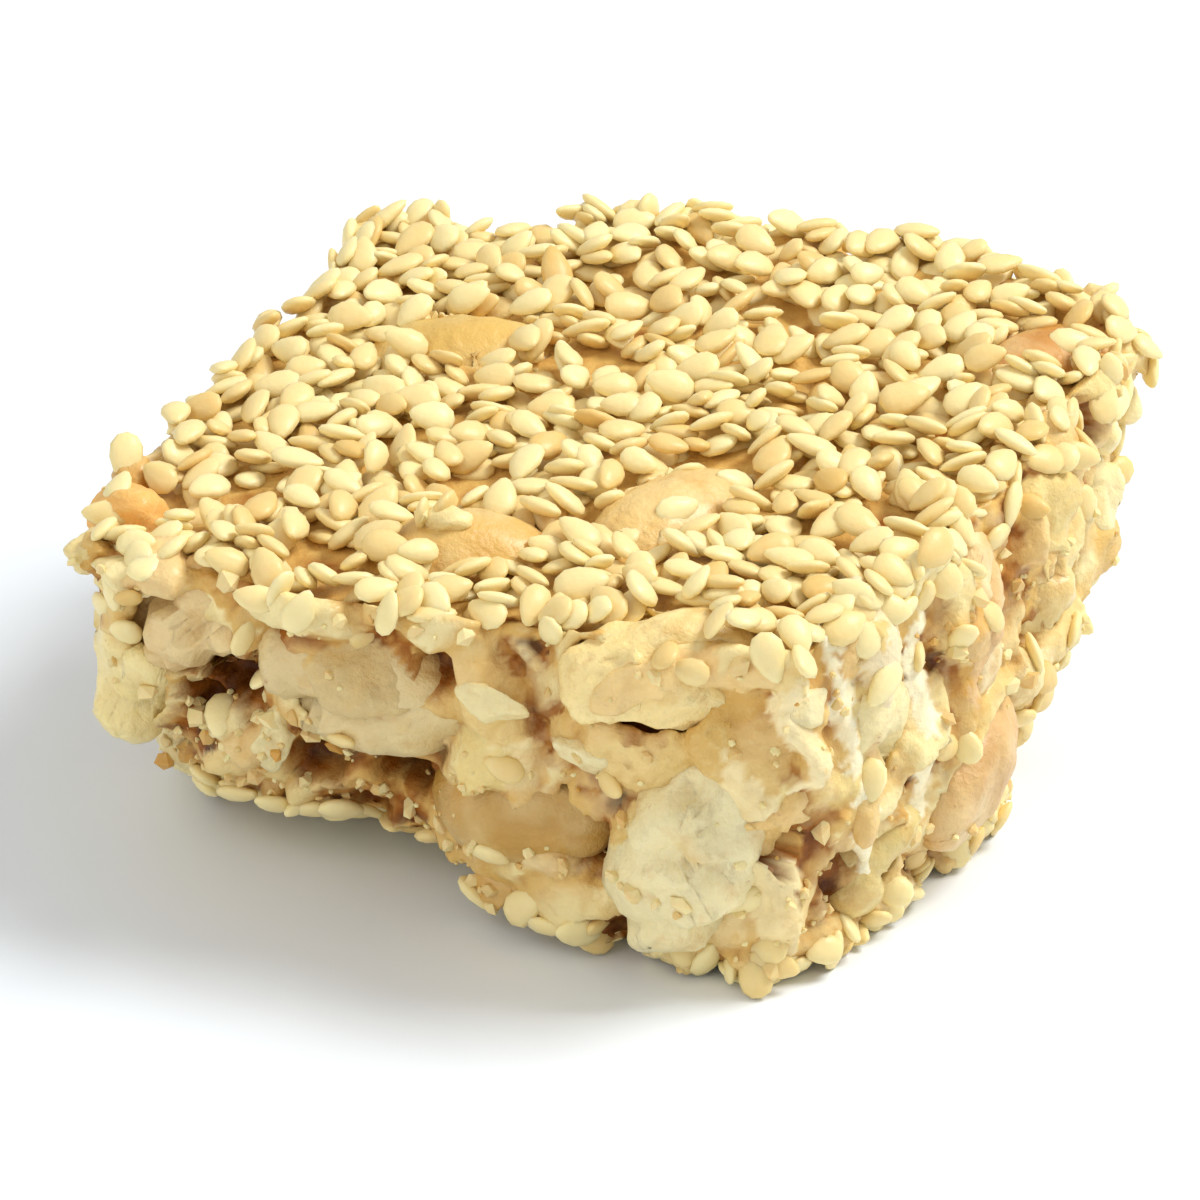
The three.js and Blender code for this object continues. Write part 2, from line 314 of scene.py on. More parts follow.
class Graph:
    """Adds nodes to a tree: a node's settings first, then the value or link of each socket."""

    def __init__(self, tree):
        self.tree = tree

    def node(self, kind, inputs=None, **settings):
        node = self.tree.nodes.new(kind)
        for key, value in settings.items():
            if key == "stops":
                self.set_stops(node.color_ramp, value)
            else:
                setattr(node, key, value)
        for key, value in (inputs or {}).items():
            self.feed(node.inputs[key], value)
        return Made(self, node)

    def feed(self, socket, value):
        if isinstance(value, Value):
            self.tree.links.new(value.socket, socket)
        else:
            socket.default_value = value

    @staticmethod
    def set_stops(ramp, stops):
        while len(ramp.elements) < len(stops):
            ramp.elements.new(1.0)
        for element, (place, grey) in zip(ramp.elements, stops):
            element.position = place
            element.color = (grey, grey, grey, 1)

    def blend(self, factor, a, b):
        """Two colours mixed by a factor."""
        return self.node("ShaderNodeMix", {0: factor, 6: rgba(a), 7: rgba(b)}, data_type="RGBA")[2]

    def stored(self, name, output="Fac"):
        """What the mesh holds under a name."""
        return self.node("ShaderNodeAttribute", attribute_name=name)[output]

    def noise(self, coordinates, scale, detail=2.0, roughness=0.5):
        inputs = {"Vector": coordinates, "Scale": scale, "Detail": detail, "Roughness": roughness}
        return self.node("ShaderNodeTexNoise", inputs)["Fac"]

    def steps(self, value, *stops):
        """A value run through a ramp of (place, grey) stops."""
        return self.node("ShaderNodeValToRGB", {"Fac": value}, stops=stops)["Color"]


def rgba(colour):
    return colour if isinstance(colour, Value) else (*colour[:3], 1.0)


def flesh(weight, scale):
    """The warm light that soaks into nuts, seeds and syrup, as shader inputs."""
    return {
        "Subsurface Weight": weight,
        "Subsurface Radius": (1.0, 0.75, 0.4),
        "Subsurface Scale": scale,
    }


def surface(name, build, fixed):
    """A material: build returns the inputs that vary over the surface, fixed the ones that don't."""
    material = bpy.data.materials.new(name)
    material.use_nodes = True
    graph = Graph(material.node_tree)
    shader = material.node_tree.nodes["Principled BSDF"]
    coordinates = graph.node("ShaderNodeTexCoord")["Object"]
    for key, value in {**fixed, **build(graph, coordinates)}.items():
        graph.feed(shader.inputs[key], value)
    return material


def bump(graph, height, distance, strength):
    inputs = {"Height": height, "Distance": distance, "Strength": strength}
    return graph.node("ShaderNodeBump", inputs)["Normal"]


# --- Materials ---


def syrup_surface(settings):
    """Set syrup around broken nut: the tone and the wetness come from the mesh."""

    def build(graph, at):
        tone = graph.stored("tone", "Color")
        wet = graph.stored("wet")
        blotches = graph.noise(at, 420, 4)
        grains = graph.noise(at, 1900, 3, 0.6)
        stain = graph.steps(blotches, (0.5, 0.0), (0.75, 0.4))
        colour = graph.blend(stain, tone, settings.glaze)
        dust = graph.steps(grains, (0.5, 0.0), (0.75, 0.3)) * (1 - wet)
        colour = graph.blend(dust, colour, CREAM)
        return {
            "Base Color": colour,
            "Roughness": 0.52 - wet * 0.08 + grains * 0.1,
            "Coat Weight": 0.08 + wet * (1 - wet) * 0.8,
            "Normal": bump(graph, grains + blotches, 0.25 * MM, 0.7),
        }

    fixed = {**flesh(0.12, 1.0 * MM), "Specular IOR Level": 0.15, "Coat Roughness": 0.15}
    return surface("set_syrup", build, fixed)


def nut_surface(name, skin, roughness):
    """Roasted peanut: the tone comes from the mesh, with paler and browner blotches and shreds of skin."""

    def build(graph, at):
        tone = graph.stored("tone", "Color")
        blotches = graph.noise(at, 260, 3)
        grains = graph.noise(at, 1500, 3, 0.6)
        colour = graph.blend(graph.steps(blotches, (0.4, 0.0), (0.7, 0.45)), tone, CREAM)
        brown = graph.steps(graph.noise(at, 330, 4, 0.6), (0.52, 0.0), (0.74, 0.6))
        colour = graph.blend(brown, colour, GOLD)
        shreds = graph.steps(graph.noise(at, 700, 5, 0.65), (0.66, 0.0), (0.74, 0.6))
        return {
            "Base Color": graph.blend(shreds, colour, skin),
            "Roughness": roughness + grains * 0.16,
            "Normal": bump(graph, grains + 1.5 * blotches, 0.25 * MM, 0.8),
        }

    return surface(name, build, {**flesh(0.15, 1.2 * MM), "Coat Weight": 0.3, "Coat Roughness": 0.2})


def seed_surface(settings):
    """Roasted sesame seed under a thin glaze: how roasted each one is comes from the mesh."""

    def build(graph, at):
        roast = graph.stored("roast")
        mottle = graph.noise(at, 700, 3)
        grains = graph.noise(at, 3000, 2)
        depth = (roast + mottle * 0.5 - 0.25).clamped()
        return {
            "Base Color": graph.blend(depth, settings.pale, settings.roasted),
            "Roughness": 0.48 + mottle * 0.2,
            "Normal": bump(graph, grains, 0.06 * MM, 0.5),
        }

    fixed = {**flesh(0.25, 1.0 * MM), "Coat Weight": 0.2, "Coat Roughness": 0.2}
    return surface("sesame_seed", build, fixed)


def floor_surface(settings):
    """A smooth white table."""

    def build(graph, at):
        return {"Roughness": 0.5 + graph.noise(at, 6, 2) * 0.15}

    return surface("white_table", build, {"Base Color": rgba(settings.floor)})


# --- Meshes ---


def points_of(mesh, field="co", source="vertices"):
    items = getattr(mesh, source)
    values = np.empty(len(items) * 3, dtype=np.float32)
    items.foreach_get(field, values)
    return values.reshape(-1, 3).astype(float)


def normals_of(mesh):
    return points_of(mesh, "vector", "vertex_normals")


def move_points(mesh, points):
    mesh.vertices.foreach_set("co", points.astype(np.float32).ravel())
    mesh.update()


def new_object(name, mesh, material=None):
    piece = bpy.data.objects.new(name, mesh)
    bpy.context.scene.collection.objects.link(piece)
    if material:
        mesh.materials.clear()
        mesh.materials.append(material)
    return piece


def finish_piece(piece, slot, *nodes, crisp=None):
    """Hands a finished piece to the frame, with its edges crisp above an angle where one is given."""
    piece.data.shade_smooth()
    if crisp:
        piece.data.set_sharp_from_angle(angle=math.radians(crisp))
    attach(piece, "root")
    if nodes:
        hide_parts(*nodes)


def baked(piece):
    """The piece with its modifiers applied, as a plain mesh."""
    bpy.context.view_layer.update()
    evaluated = piece.evaluated_get(bpy.context.evaluated_depsgraph_get())
    mesh = bpy.data.meshes.new_from_object(evaluated)
    mesh.name = piece.name
    old = piece.data
    piece.modifiers.clear()
    piece.data = mesh
    bpy.data.meshes.remove(old)
    return piece


def set_values(mesh, name, kind, values):
    """Stores one value or colour for each vertex."""
    layer = mesh.attributes.new(name, kind, "POINT")
    field = "color" if kind == "FLOAT_COLOR" else "vector" if kind == "FLOAT_VECTOR" else "value"
    layer.data.foreach_set(field, np.asarray(values, dtype=np.float32).ravel())


def set_tone(mesh, colours):
    set_values(mesh, "tone", "FLOAT_COLOR", np.column_stack((colours, np.ones(len(colours)))))


def shape_of(mesh):
    return points_of(mesh), [polygon.vertices for polygon in mesh.polygons]


def joined(shapes):
    """The points and faces of several (points, faces) shapes as one."""
    corners, faces, start = [], [], 0
    for points, sides in shapes:
        corners.append(points)
        faces += [[start + corner for corner in side] for side in sides]
        start += len(points)
    return np.concatenate(corners), faces


def surface_tree(meshes):
    """The meshes' surfaces together, for casting rays and finding the nearest place."""
    points, faces = joined(shape_of(mesh) for mesh in meshes)
    return BVHTree.FromPolygons(points.tolist(), faces)


def tree_of_pieces(*names):
    return surface_tree(bpy.data.objects[name].data for name in names)


def tree_of_solids(*names):
    return surface_tree(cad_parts[name].data for name in names)


def tree_of_points(points):
    tree = KDTree(len(points))
    for number, point in enumerate(points):
        tree.insert(point, number)
    tree.balance()
    return tree


def merged_solids(name, *nodes, swell=0):
    """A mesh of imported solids, their doubled corners merged and each corner moved out by swell."""
    shell = bmesh.new()
    for node in nodes:
        shell.from_mesh(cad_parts[node].data)
    bmesh.ops.remove_doubles(shell, verts=shell.verts, dist=MM / 1000)
    shell.normal_update()
    for vertex in shell.verts:
        vertex.co += vertex.normal * swell
    mesh = bpy.data.meshes.new(name)
    shell.to_mesh(mesh)
    shell.free()
    return mesh


def remeshed(piece, grain, softening):
    """The piece as one evenly meshed skin, softened by a number of rounds."""
    even = piece.modifiers.new("even", "REMESH")
    even.mode = "VOXEL"
    even.voxel_size = grain
    soften = piece.modifiers.new("soften", "SMOOTH")
    soften.iterations = softening
    return baked(piece)


def smoothstep(low, high, value):
    x = np.clip((value - low) / (high - low), 0, 1)
    return x * x * (3 - 2 * x)


def rumple(points, size, octaves=3):
    """Fractal noise of about -1 to 1 at each point, with bumps of that size."""
    return np.array([noise.fractal(Vector(p) / size, 0.9, 2.1, octaves) for p in points])


# --- Places on the slab ---

UP = Vector((0, 0, 1))
SIDES = {  # the direction that each side faces, and the one that runs along it
    "front": (Vector((0, -1, 0)), Vector((1, 0, 0))),
    "right": (Vector((1, 0, 0)), Vector((0, 1, 0))),
    "back": (Vector((0, 1, 0)), Vector((-1, 0, 0))),
    "left": (Vector((-1, 0, 0)), Vector((0, -1, 0))),
}


def cast(tree, start, way):
    """The point and normal where a ray meets the tree's surface, or None where it misses."""
    point, normal, _, _ = tree.ray_cast(start, way)
    return None if point is None else (point, normal)


def on_side(tree, side, along, up):
    """The point and normal of a place on a cut side, or None."""
    out, run = SIDES[side]
    middle = Vector((MIDDLE[0], MIDDLE[1], BOX_LOW[2] + up * SPAN[2]))
    reach = abs(run.x) * SPAN[0] + abs(run.y) * SPAN[1]
    return cast(tree, middle + run * (along * reach / 2) + out * 2 * SPAN[0], -out)


def across_top(along, back):
    """The x and y of a place on the top."""
    return MIDDLE[:2] + np.array((along, back)) * SPAN[:2] / 2


def on_top(tree, along, back):
    """The point and normal of a place on the top, or None."""
    return cast(tree, Vector((*across_top(along, back), 2 * BOX_HIGH[2])), -UP)


def level(points, normals, way=1):
    """How far each point belongs to the top, or to the underside where way is -1, from 0 to 1."""
    return smoothstep(0.5, 0.85, way * normals[:, 2]) * (way * (points[:, 2] - MIDDLE[2]) > 0)


# --- Core ---


def slab_skin(settings):
    """The three layers run together into one closed, evenly meshed skin, with the peanuts' hollows."""
    mesh = merged_solids("syrup_core", *LAYERS, swell=0.2 * MM)
    return remeshed(new_object("syrup_core", mesh), settings.grain, 4)


def chunk_relief(points, size, relief, dice):
    """The height of the broken nut pieces at each point, how near a gap it is, and its piece's number."""
    axes = [np.arange(low, high, size) for low, high in zip(BOX_LOW - size, BOX_HIGH + size)]
    centres = np.stack(np.meshgrid(*axes, indexing="ij"), -1).reshape(-1, 3)
    centres += dice.uniform(-0.45, 0.45, centres.shape) * size
    tree = tree_of_points(centres)
    near = np.array([[(hit[1], hit[2]) for hit in tree.find_n(p, 2)] for p in points])
    first, second = near[:, 0, 0].astype(int), near[:, 1, 0].astype(int)
    edge = (near[:, 1, 1] - near[:, 0, 1]) / 2
    lift = dice.uniform(-1, 0.8, len(centres)) * relief
    lean = dice.normal(0, 1, centres.shape) * relief / size
    height = [lift[i] + np.einsum("ij,ij->i", points - centres[i], lean[i]) for i in (first, second)]
    own = 0.5 + 0.5 * smoothstep(0, 0.12 * size, edge)
    opens = (first * 7 + second * 3) % 5 > 1  # three borders in five
    gap = np.exp(-((edge / (0.075 * size)) ** 2)) * opens
    return height[0] * own + height[1] * (1 - own), gap, first


def pit_moves(points, tree):
    """How far into the slab the pits and the bare spots of the top push each point, and their depth there."""
    depth, moves = np.zeros(len(points)), np.zeros((len(points), 3))
    ragged = 0.35 * rumple(points, 1.6 * MM)
    places = [(on_side(tree, *pit[:3]), SIDES[pit[0]][0], *pit[3:]) for pit in PITS]
    places += [(on_top(tree, *spot[:2]), UP, spot[2], BARE_DEPTH) for spot in BARE_SPOTS]
    for place, out, radius, deep in places:
        if place:
            away = np.linalg.norm(points - np.array(place[0]), axis=1) / (PIT_FLARE * radius * MM)
            here = deep * MM * np.clip(1 - (away + ragged) ** 2, 0, 1)
            moves[here > depth] = -here[here > depth, None] * np.array(out)
            depth = np.maximum(depth, here)
    return moves, depth


def kernel_clearance(points):
    """Distance from each point to the nearest peanut half."""
    tree = tree_of_solids(*KERNELS)
    return np.array([tree.find_nearest(Vector(p))[3] for p in points])


def pit_mouths(tree):
    """The middle and radius of each pit's mouth."""
    return [(on_side(tree, *pit[:3])[0], pit[3] * MM) for pit in PITS]


def clear_of_pits(point, pits, gap=0):
    return all((point - middle).length > radius + gap for middle, radius in pits)


def pooled(points, height):
    """How much higher the syrup stands at each point, where it pooled on the top."""
    return height * (0.35 + 0.65 * smoothstep(0.05, 0.45, rumple(points * (1, 1, 0), 9 * MM, 2)))


def strip_shape(tree, side, width, course, dice):
    """A strip of syrup that follows the surface along its course, rounded, uneven and tapered at its ends."""
    out, run = (np.array(way) for way in SIDES[side])
    course = np.array(course)
    steps = np.linspace(0, len(course) - 1, 20 * len(course))
    marks = np.arange(len(course))
    along, up = np.interp(steps, marks, course[:, 0]), np.interp(steps, marks, course[:, 1])
    places = [on_side(tree, side, *place) for place in zip(along, up)]
    reach = np.array([place[0] @ Vector(out) if place else -1 for place in places])
    sound = reach > reach.max() - 4 * MM  # the rest missed the side or fell into a hollow
    reach = np.interp(steps, steps[sound], reach[sound])
    for _ in range(30):  # bridges narrow dips
        reach[1:-1] = np.maximum((reach[:-2] + reach[2:]) / 2, reach[1:-1] - 0.02 * MM)
    middle = (MIDDLE * (1, 1, 0) + (0, 0, BOX_LOW[2])) * (1 - np.abs(out))
    half = abs(SPAN @ run) / 2
    line = middle + np.outer(along * half, run) + np.outer(up * SPAN[2], UP) + np.outer(reach, out)
    for _ in range(12):
        line[1:-1] = (line[:-2] + line[1:-1] + line[2:]) / 3
    across = np.cross(np.gradient(line, axis=0), out)
    across /= np.linalg.norm(across, axis=1)[:, None]
    taper = np.clip(np.sin(np.linspace(0, math.pi, len(line))), 0.02, 1) ** 0.45
    half = width / 2 * taper * (1 + 0.35 * rumple(line, 3 * MM))
    sides = 20
    turns = np.linspace(0, 2 * math.pi, sides, endpoint=False)
    ring = across[:, None] * np.cos(turns)[:, None] + 0.6 * out * np.sin(turns)[:, None]
    points = (line[:, None] + ring * half[:, None, None] - 0.1 * width * out).reshape(-1, 3)
    start = dice.uniform(0, 1, 3)
    rise = 0.35 * MM * rumple(points + start, 2.2 * MM) * np.repeat(taper, sides)
    points += (ring / np.linalg.norm(ring, axis=2)[..., None]).reshape(-1, 3) * rise[:, None]
    corners = np.arange(len(points)).reshape(-1, sides)
    turned = np.roll(corners, -1, axis=1)
    faces = np.stack((corners[:-1], turned[:-1], turned[1:], corners[1:]), -1).reshape(-1, 4).tolist()
    return points, [*faces, corners[0][::-1].tolist(), corners[-1].tolist()]


def laid(shape, turn, point, normal, thickness):
    """A chip's points, turned and set into the surface at a point."""
    return shape @ np.array(turn).T + np.array(point - normal * thickness * CHIP_SINK)


def added_shapes(tree, dice):
    """The chips and strips that show, each as points, faces, tone and wetness."""
    shapes = []
    for side, along, up, long, high, tone in CHIPS:
        point, normal = on_side(tree, side, along, up)
        sizes = np.array((high, long, 0.5 * min(high, long))) * MM
        points, faces = chip_shape(sizes, dice)
        shapes.append((laid(points, upright(normal), point, normal, sizes[2]), faces, tone, CHIP_WET))
    for along, back, long, high, tone in TOP_CHIPS:
        point, _ = on_top(tree, along, back)
        points, faces = chip_shape(np.array((long, 0.8 * long, high)) * MM, dice)
        shapes.append((points + np.array(point), faces, tone, CHIP_WET))
    for side, width, tone, course in STRIPS:
        shapes.append((*strip_shape(tree, side, width * MM, course, dice), tone, STRIP_WET))
    return shapes


def run_together(core, tones, wet, shapes, grain):
    """Runs the shapes into the core as one evenly meshed skin, and returns its tones and wetness."""
    corners, faces = joined([shape_of(core.data), *(shape[:2] for shape in shapes)])
    tones, wet = [tones], [wet]
    for points, _, tone, wetness in shapes:
        tones.append(np.outer(1 + 0.14 * rumple(points, 1.8 * MM), tone))
        wet.append(np.full(len(points), wetness))
    core.data.clear_geometry()
    core.data.from_pydata(corners.tolist(), [], faces)
    remeshed(core, grain, 2)
    tree = tree_of_points(corners)
    nearest = [tree.find(point)[1] for point in points_of(core.data)]
    return np.concatenate(tones)[nearest], np.concatenate(wet)[nearest]


def syrup_and_shade_tones(settings, bare):
    """The tone of set syrup, from the glaze on the surface (0) through the amber of bare syrup to painted
    shade at the bottom of a pit (1).
    """
    amber, painted_pit_shade, glaze = np.array(settings.amber), np.array(settings.painted_pit_shade), np.array(settings.glaze)
    bare = np.clip(bare, 0, 1)[:, None]
    # the amber is the bare syrup's own colour; the pull towards the pit colour, growing with depth, is painted
    # shade
    return glaze + (amber - glaze) * np.clip(2 * bare, 0, 1) + (painted_pit_shade - amber) * bare**2


def break_sides(mesh, settings, dice):
    """Lowers the beds and breaks the sides into pieces of nut, and returns their tones and wetness."""
    points, normals = points_of(mesh), normals_of(mesh)
    height, gap, piece = chunk_relief(points, settings.chunk, settings.relief, dice)
    bits, cracks, bit = chunk_relief(points, 0.45 * settings.chunk, 0.24 * settings.relief, dice)
    top, bottom = level(points, normals), level(points, normals, -1)
    bed = np.maximum(top, bottom)
    side = 1 - bed
    fine, broad = rumple(points, FINE), rumple(points, BROAD)
    free = smoothstep(0.1 * MM, 1.2 * MM, kernel_clearance(points))
    smear = rumple(points * (1, 1, 0.3), 1.9 * MM) * (0.4 + 0.6 * np.abs(normals[:, 0]))
    rough = height + bits - settings.crevice * (gap + 0.25 * cracks) + 0.35 * MM * (broad + smear)
    rough = np.clip(rough, -MOST_IN, MOST_OUT)
    outward = side * free * rough
    outward -= top * (settings.top_bed - pooled(points, settings.pool)) + bottom * settings.bottom_bed
    move_points(mesh, points + normals * outward[:, None])

    palette = np.array(CHUNK_TONES)
    tones = 0.6 * palette[piece % len(palette)] + 0.4 * palette[bit % len(palette)]
    low = smoothstep(0.1 * MM, 1.4 * MM, -rough) * side * free
    wet = np.clip(np.maximum.reduce([bed, 0.95 * gap * side, 0.5 * cracks * side, low]), 0, 1)
    # bare grows with how far the surface lies back, so the syrup in recesses and crevices goes from amber to
    # painted shade
    bare = low * (0.5 + broad) + 0.3 * fine
    tones += (syrup_and_shade_tones(settings, bare) - tones) * wet[:, None]
    return tones, wet


def carve_pits(mesh, settings, tones, wet):
    """Carves the pits and the finest relief, and stores the tones and wetness."""
    points, normals = points_of(mesh), normals_of(mesh)
    moves, pits = pit_moves(points, surface_tree([mesh]))
    fine = rumple(points, FINE)
    crumbly = settings.crumb * fine * (1 - 0.6 * wet)
    held = 0.8 * level(points, normals)  # the seeds' bed isn't dented much
    move_points(mesh, points + normals * crumbly[:, None] + moves * (1 - held[:, None]))
    # pits are painted darker with their depth: amber where the syrup lies bare, then painted shade towards the
    # bottom
    deep = np.clip(pits / FULL_SHADE_DEPTH, 0, 1)
    pit_syrup_and_shade = np.clip(2 * deep, 0, 1)
    tones += (syrup_and_shade_tones(settings, 0.3 + 0.7 * deep + 0.3 * fine) - tones) * pit_syrup_and_shade[:, None]
    set_tone(mesh, tones)
    set_values(mesh, "wet", "FLOAT", np.maximum(wet, pit_syrup_and_shade))


class BRITTLE_OT_core(Operator):
    """Casts the body of set syrup and broken nut, with its beds, pits, crevices, chips and strips"""

    bl_idname = "brittle.core"
    bl_label = "Cast Core"

    def execute(self, context):
        settings = context.scene.brittle.core
        dice = np.random.default_rng(SEED)
        core = slab_skin(settings)
        tones, wet = break_sides(core.data, settings, dice)
        shapes = added_shapes(tree_of_pieces(core.name, *ROASTED), dice)
        tones, wet = run_together(core, tones, wet, shapes, settings.grain)
        carve_pits(core.data, settings, tones, wet)
        core.data.materials.append(syrup_surface(settings))
        finish_piece(core, "syrup", "peanut_core")
        return {"FINISHED"}


# --- Peanuts ---


def roast_kernel(name, settings, material, dice):
    """One peanut half: its solid rounded off, swollen to its neighbours and wrinkled."""
    looks = HALVES.get(name.removeprefix("peanut_"), Half())
    half = new_object("roasted_" + name, merged_solids("roasted_" + name, name), material)
    rounding = half.modifiers.new("rounding", "SUBSURF")
    rounding.levels = rounding.render_levels = 2
    mesh = baked(half).data
    points, normals = points_of(mesh), normals_of(mesh)
    rise = settings.swell + settings.wrinkle * rumple(points, 2.2 * MM)
    out, _ = SIDES.get(name.split("_")[1], (UP, None))
    rise += looks.proud * MM * smoothstep(-0.3, 0.4, normals @ np.array(out))
    if not looks.whole:
        facets, cracks, _ = chunk_relief(points, 3.4 * MM, settings.fracture, dice)
        most = 0.35 * MM  # of what a broken face rises, ripples or cracks
        rise += np.minimum(facets, most) - most * cracks
        rise += most * rumple(points + 0.5, 1.7 * MM) + 0.12 * MM * rumple(points, FINE)
    move_points(mesh, points + normals * rise[:, None])
    tone = np.array(looks.tone or CHUNK_TONES[dice.integers(len(CHUNK_TONES))])
    set_tone(mesh, tone * (1 + 0.12 * rumple(points, 5 * MM))[:, None])
    finish_piece(half, "peanut", name)


class BRITTLE_OT_kernels(Operator):
    """Finishes each peanut half where it lies"""

    bl_idname = "brittle.kernels"
    bl_label = "Roast Peanut Halves"

    def execute(self, context):
        settings = context.scene.brittle.peanuts
        dice = np.random.default_rng(SEED + 1)
        material = nut_surface("roasted_peanut", settings.skin, 0.4)
        for name in KERNELS:
            roast_kernel(name, settings, material, dice)
        return {"FINISHED"}


def chip_shape(sizes, dice):
    """A chopped piece of nut: a ball broken by a few cuts and rumpled all over."""
    ball = bmesh.new()
    bmesh.ops.create_icosphere(ball, subdivisions=4, radius=1)
    points = np.array([v.co for v in ball.verts])
    faces = [[v.index for v in face.verts] for face in ball.faces]
    ball.free()
    outward = points.copy()
    for _ in range(dice.integers(5, 9)):
        cut = dice.normal(size=3)
        cut /= np.linalg.norm(cut)
        over = points @ cut - dice.uniform(0.5, 0.85)
        points -= 0.85 * np.clip(over, 0, None)[:, None] * cut
    points = points * sizes / 2
    start = dice.uniform(0, 1, 3)
    rise = 0.4 * MM * rumple(points + start, BROAD) + 0.1 * MM * rumple(points + start, TINY)
    return points + outward * rise[:, None], faces


def side_places(tree, count, spacing, dice, liking, tries=40):
    """Places on the cut sides, kept apart by spacing: liking gives the chance of keeping each one."""
    kept, names = [], list(SIDES)
    for _ in range(count * tries):
        if len(kept) == count:
            break
        side = names[dice.integers(4)]
        along, up = dice.uniform(-0.99, 0.99), dice.uniform(0.02, 0.98)
        place = on_side(tree, side, along, up)
        if place is None or dice.random() > liking(side, along, up, place):
            continue
        if all((place[0] - other[0]).length > spacing for other in kept):
            kept.append(place)
    return kept


def facing(normal, dice, tilt):
    """A turn that lays a thing flat against a normal, spun at random and tilted by up to tilt radians."""
    spin = Matrix.Rotation(dice.uniform(0, 2 * math.pi), 3, "Z")
    tips = [Matrix.Rotation(dice.uniform(-tilt, tilt), 3, axis) for axis in "XY"]
    return normal.to_track_quat("Z", "X").to_matrix() @ tips[0] @ tips[1] @ spin


def upright(normal):
    """A turn that lays a thing flat against a normal with its X axis as near upright as it goes."""
    side = UP.cross(normal)
    if side.length < 0.3:
        return normal.to_track_quat("Z", "X").to_matrix()
    side.normalize()
    return Matrix((normal.cross(side), side, normal)).transposed()


class BRITTLE_OT_chips(Operator):
    """Sets chopped pieces of nut into the cut sides, joined as one piece"""

    bl_idname = "brittle.chips"
    bl_label = "Set Nut Chips"

    def execute(self, context):
        settings = context.scene.brittle.peanuts
        dice = np.random.default_rng(SEED + 2)
        tree, halves = tree_of_pieces("syrup_core"), tree_of_pieces(*ROASTED)
        pits = pit_mouths(tree)

        def liking(side, along, up, place):
            away = halves.find_nearest(place[0])[3]
            clear = clear_of_pits(place[0], pits, 0.6 * settings.chip)
            seen = side in ("front", "right")
            return 0.1 < up < 0.9 and away > 0.3 * settings.chip and clear and dice.random() > 0.7 * seen

        shapes, tones = [], []
        for point, normal in side_places(tree, settings.chips, 0.8 * settings.chip, dice, liking):
            sizes = settings.chip * dice.uniform((0.7, 0.5, 0.4), (1.4, 1.0, 0.6))
            shape, sides = chip_shape(sizes, dice)
            shapes.append((laid(shape, facing(normal, dice, 0.5), point, normal, sizes[2]), sides))
            shade = dice.uniform(0.92, 1.06) * (1 + 0.15 * rumple(shape, 1.8 * MM))
            tones.append(np.outer(shade, CHUNK_TONES[dice.integers(len(CHUNK_TONES))]))
        points, faces = joined(shapes)
        mesh = bpy.data.meshes.new("nut_chips")
        mesh.from_pydata(points.tolist(), [], faces)
        chips = new_object("nut_chips", mesh, nut_surface("chopped_peanut", settings.skin, 0.5))
        set_tone(mesh, np.concatenate(tones))
        finish_piece(chips, "peanut")
        return {"FINISHED"}


# --- Sesame seeds ---


